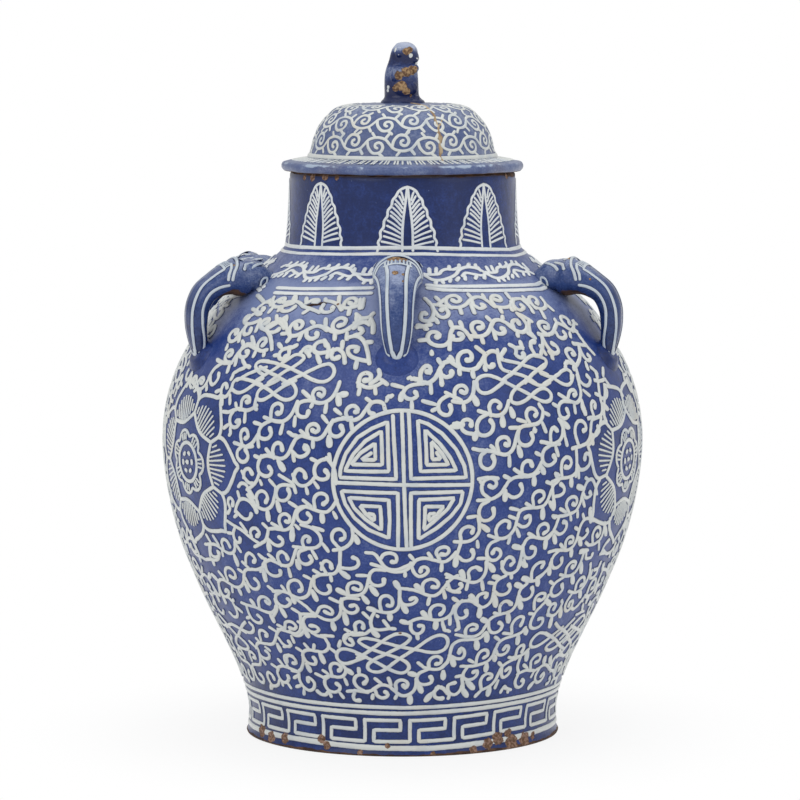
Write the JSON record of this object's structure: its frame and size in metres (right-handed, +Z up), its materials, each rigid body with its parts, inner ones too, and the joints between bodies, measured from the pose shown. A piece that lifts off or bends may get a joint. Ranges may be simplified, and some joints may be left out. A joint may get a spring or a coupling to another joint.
{
  "type": "lidded jar",
  "caption": "Tall shouldered stoneware storage jar with a lift-off domed lid, a seated-beast finial and elephant-head loop handles round the shoulder.",
  "frame": {"origin": "middle of the foot, on the surface that the jar stands on", "axes": "+Z up along the axis the jar was thrown round, -Y towards the front handle, +X to the right of the picture, where the beast on the lid looks"},
  "size_m": [0.3266, 0.3266, 0.4695],
  "materials": {
    "body_glaze": "glossy mottled cobalt-blue glaze with raised cream-white slip lines",
    "handle_glaze": "glossy dark-blue glaze with cream-white slip lines and small worn chips",
    "lid_glaze": "greyer blue glaze with raised cream-white slip lines and a worn pale edge",
    "finial_glaze": "dark-blue and pale glaze with tan chips",
    "bare_clay": "unglazed brown stoneware"
  },
  "bodies": {
    "jar": {"jar_body": "body_glaze", "handle_front": "handle_glaze", "handle_right": "handle_glaze", "handle_rear_right": "handle_glaze", "handle_rear": "handle_glaze", "handle_rear_left": "handle_glaze", "handle_left": "handle_glaze", "handle_pad_front": "handle_glaze", "handle_pad_right": "handle_glaze", "handle_pad_rear_right": "handle_glaze", "handle_pad_rear": "handle_glaze", "handle_pad_rear_left": "handle_glaze", "handle_pad_left": "handle_glaze"},
    "lid": {"lid_cover": "lid_glaze", "lid_collar": "bare_clay", "lid_finial": "finial_glaze"}
  },
  "joints": [
    {"name": "lid_lift", "type": "slide", "parent": "jar", "child": "lid", "axis": [0, 0, 1], "range_m": [0, 0.15]}
  ]
}
